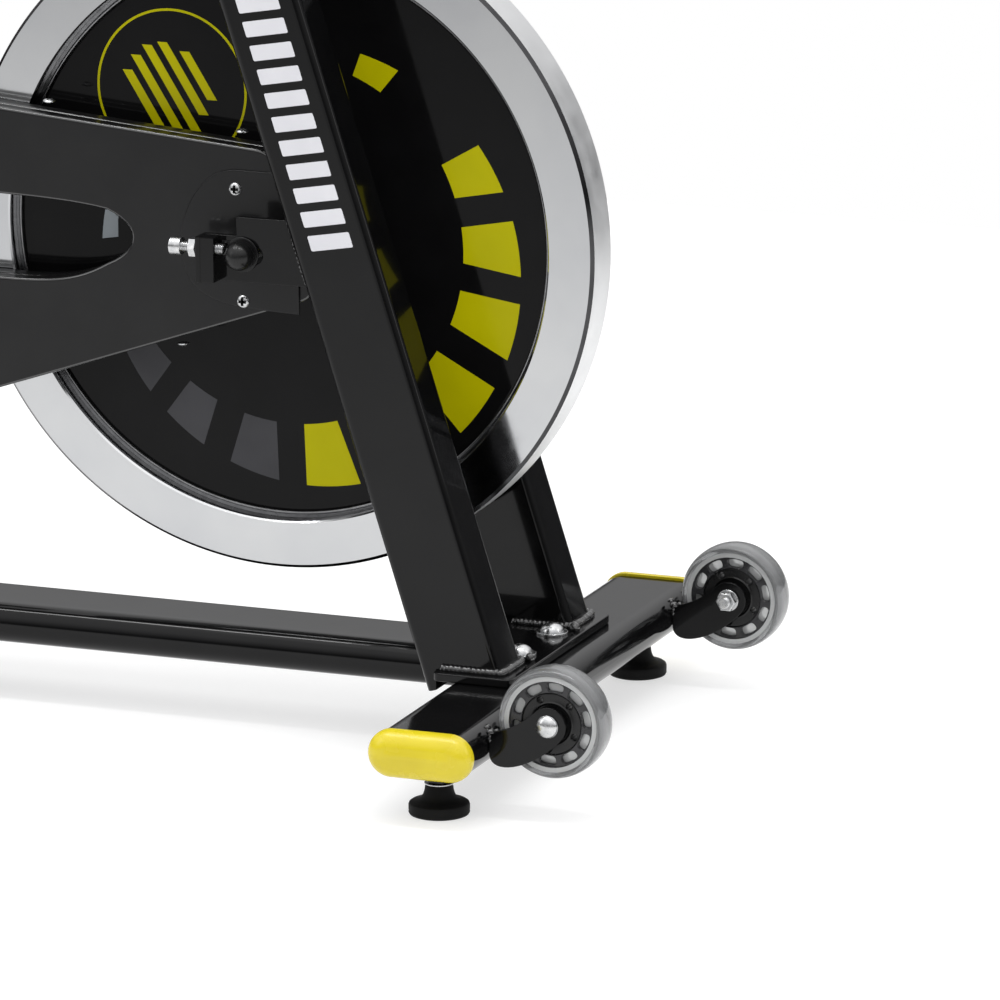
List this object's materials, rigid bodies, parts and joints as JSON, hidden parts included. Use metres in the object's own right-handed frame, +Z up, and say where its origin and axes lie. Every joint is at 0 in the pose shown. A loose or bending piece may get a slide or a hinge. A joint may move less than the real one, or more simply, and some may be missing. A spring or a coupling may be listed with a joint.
{
  "type": "exercise bike",
  "caption": "Indoor exercise bike with a belt-driven chrome-rimmed flywheel in a raked fork, yellow-capped stabilizers, transport wheels, levelling feet, and adjustable saddle and handlebar.",
  "frame": {"origin": "on the floor, under the middle of the bike's outline", "axes": "+X towards the front of the bike, +Y towards the rider's left, +Z up"},
  "size_m": [1.2038, 0.49, 1.1257],
  "materials": {
    "frame_paint": "gloss black powder coat",
    "cap_yellow": "semi-gloss yellow",
    "guard_plastic": "satin black",
    "black_rubber": "matte",
    "clear_tyre": "clear grey polyurethane",
    "chrome_rim": "polished",
    "zinc": "zinc plated",
    "bearing_steel": "ground steel",
    "black_alloy": "black anodised",
    "belt_rubber": "ribbed rubber",
    "saddle_vinyl": "black vinyl",
    "bar_foam": "foam grip",
    "disc_black": "gloss black disc cover"
  },
  "bodies": {
    "frame": {"base_beam": "frame_paint", "front_base_plate": "frame_paint", "rear_base_plate": "frame_paint", "front_stabilizer": "frame_paint", "rear_stabilizer": "frame_paint", "front_cap_right": "cap_yellow", "front_cap_left": "cap_yellow", "rear_cap_right": "cap_yellow", "rear_cap_left": "cap_yellow", "fork_leg_right": "frame_paint", "fork_leg_left": "frame_paint", "fork_crown": "frame_paint", "head_tube": "frame_paint", "main_beam": "frame_paint", "seat_tube": "frame_paint", "bottom_bracket_shell": "frame_paint", "bottom_bracket_cartridge": "bearing_steel", "axle_bracket_right": "frame_paint", "axle_bracket_left": "frame_paint", "tension_bolt_right": "zinc", "tension_bolt_left": "zinc", "flywheel_axle": "zinc", "axle_cap_nut_right": "guard_plastic", "axle_cap_nut_left": "guard_plastic", "belt_guard_outer": "guard_plastic", "belt_guard_inner": "guard_plastic", "wheel_bracket_right": "frame_paint", "wheel_bracket_left": "frame_paint", "wheel_bolt_right": "zinc", "wheel_bolt_left": "zinc", "drive_belt": "belt_rubber"},
    "flywheel_assembly": {"flywheel": "chrome_rim", "flywheel_pulley": "bearing_steel", "hub_bearing_right": "bearing_steel", "hub_bearing_left": "bearing_steel"},
    "crankset": {"crank_axle": "bearing_steel", "crank_pulley": "black_alloy", "crank_arm_right": "black_alloy", "crank_arm_left": "black_alloy", "pedal_spindle_right": "zinc", "pedal_spindle_left": "zinc"},
    "right_pedal": {"pedal_right": "guard_plastic"},
    "left_pedal": {"pedal_left": "guard_plastic"},
    "right_transport_wheel": {"transport_wheel_right": "clear_tyre"},
    "left_transport_wheel": {"transport_wheel_left": "clear_tyre"},
    "front_right_foot": {"front_foot_right": "black_rubber"},
    "front_left_foot": {"front_foot_left": "black_rubber"},
    "rear_right_foot": {"rear_foot_right": "black_rubber"},
    "rear_left_foot": {"rear_foot_left": "black_rubber"},
    "handlebar_assembly": {"handlebar_post": "frame_paint", "handlebar": "frame_paint"},
    "handlebar_clamp": {"head_knob": "guard_plastic"},
    "seat_mast": {"seat_post": "frame_paint"},
    "seat_clamp": {"seat_knob": "guard_plastic"},
    "saddle_carriage": {"seat_slider": "frame_paint", "saddle": "saddle_vinyl"},
    "saddle_clamp": {"slider_knob": "guard_plastic"},
    "brake": {"brake_rod": "zinc", "brake_pad": "black_rubber"},
    "resistance_control": {"resistance_knob": "cap_yellow"}
  },
  "joints": [
    {"name": "flywheel_spin", "type": "hinge", "parent": "frame", "child": "flywheel_assembly", "pos_m": [0.28625, 0, 0.357], "axis": [0, 1, 0], "continuous": true},
    {"name": "crank_spin", "type": "hinge", "parent": "frame", "child": "crankset", "pos_m": [-0.13375, 0, 0.316], "axis": [0, 1, 0], "continuous": true},
    {"name": "right_pedal_spin", "type": "hinge", "parent": "crankset", "child": "right_pedal", "pos_m": [-0.13375, -0.128, 0.146], "axis": [0, 1, 0], "continuous": true},
    {"name": "left_pedal_spin", "type": "hinge", "parent": "crankset", "child": "left_pedal", "pos_m": [-0.13375, 0.128, 0.486], "axis": [0, 1, 0], "continuous": true},
    {"name": "right_transport_wheel_spin", "type": "hinge", "parent": "frame", "child": "right_transport_wheel", "pos_m": [0.56225, -0.1856, 0.0705], "axis": [0, 1, 0], "continuous": true},
    {"name": "left_transport_wheel_spin", "type": "hinge", "parent": "frame", "child": "left_transport_wheel", "pos_m": [0.56225, 0.1856, 0.0705], "axis": [0, 1, 0], "continuous": true},
    {"name": "front_right_foot_turn", "type": "hinge", "parent": "frame", "child": "front_right_foot", "pos_m": [0.48125, -0.1994, 0], "axis": [0, 0, 1], "range_deg": [-720, 720]},
    {"name": "front_left_foot_turn", "type": "hinge", "parent": "frame", "child": "front_left_foot", "pos_m": [0.48125, 0.1994, 0], "axis": [0, 0, 1], "range_deg": [-720, 720]},
    {"name": "rear_right_foot_turn", "type": "hinge", "parent": "frame", "child": "rear_right_foot", "pos_m": [-0.56375, -0.1994, 0], "axis": [0, 0, 1], "range_deg": [-720, 720]},
    {"name": "rear_left_foot_turn", "type": "hinge", "parent": "frame", "child": "rear_left_foot", "pos_m": [-0.56375, 0.1994, 0], "axis": [0, 0, 1], "range_deg": [-720, 720]},
    {"name": "handlebar_height", "type": "slide", "parent": "frame", "child": "handlebar_assembly", "axis": [-0.3057, 0, 0.9521], "range_m": [-0.02, 0.08]},
    {"name": "handlebar_knob_turn", "type": "hinge", "parent": "frame", "child": "handlebar_clamp", "pos_m": [0.19167, 0, 0.79074], "axis": [-0.9521, 0, -0.3057], "range_deg": [0, 720]},
    {"name": "seat_height", "type": "slide", "parent": "frame", "child": "seat_mast", "axis": [-0.2756, 0, 0.9613], "range_m": [-0.1, 0.07]},
    {"name": "seat_knob_turn", "type": "hinge", "parent": "frame", "child": "seat_clamp", "pos_m": [-0.27012, 0, 0.68165], "axis": [-0.9613, 0, -0.2756], "range_deg": [0, 720]},
    {"name": "saddle_fore_aft", "type": "slide", "parent": "seat_mast", "child": "saddle_carriage", "axis": [1, 0, 0], "range_m": [-0.04, 0.04]},
    {"name": "slider_knob_turn", "type": "hinge", "parent": "seat_mast", "child": "saddle_clamp", "pos_m": [-0.30264, -0.0186, 0.931], "axis": [0, -1, 0], "range_deg": [0, 720]},
    {"name": "brake_push", "type": "slide", "parent": "frame", "child": "brake", "axis": [0.4226, 0, -0.9063], "range_m": [0, 0.009], "stiffness_N_per_m": 1000, "springref_m": -0.02},
    {"name": "resistance_turn", "type": "hinge", "parent": "brake", "child": "resistance_control", "pos_m": [0.28625, 0, 0.357], "axis": [-0.4226, 0, 0.9063], "range_deg": [0, 1080]}
  ],
  "couplings": [
    {"joint": "crank_spin", "follows": "flywheel_spin", "ratio": 0.20513}
  ]
}
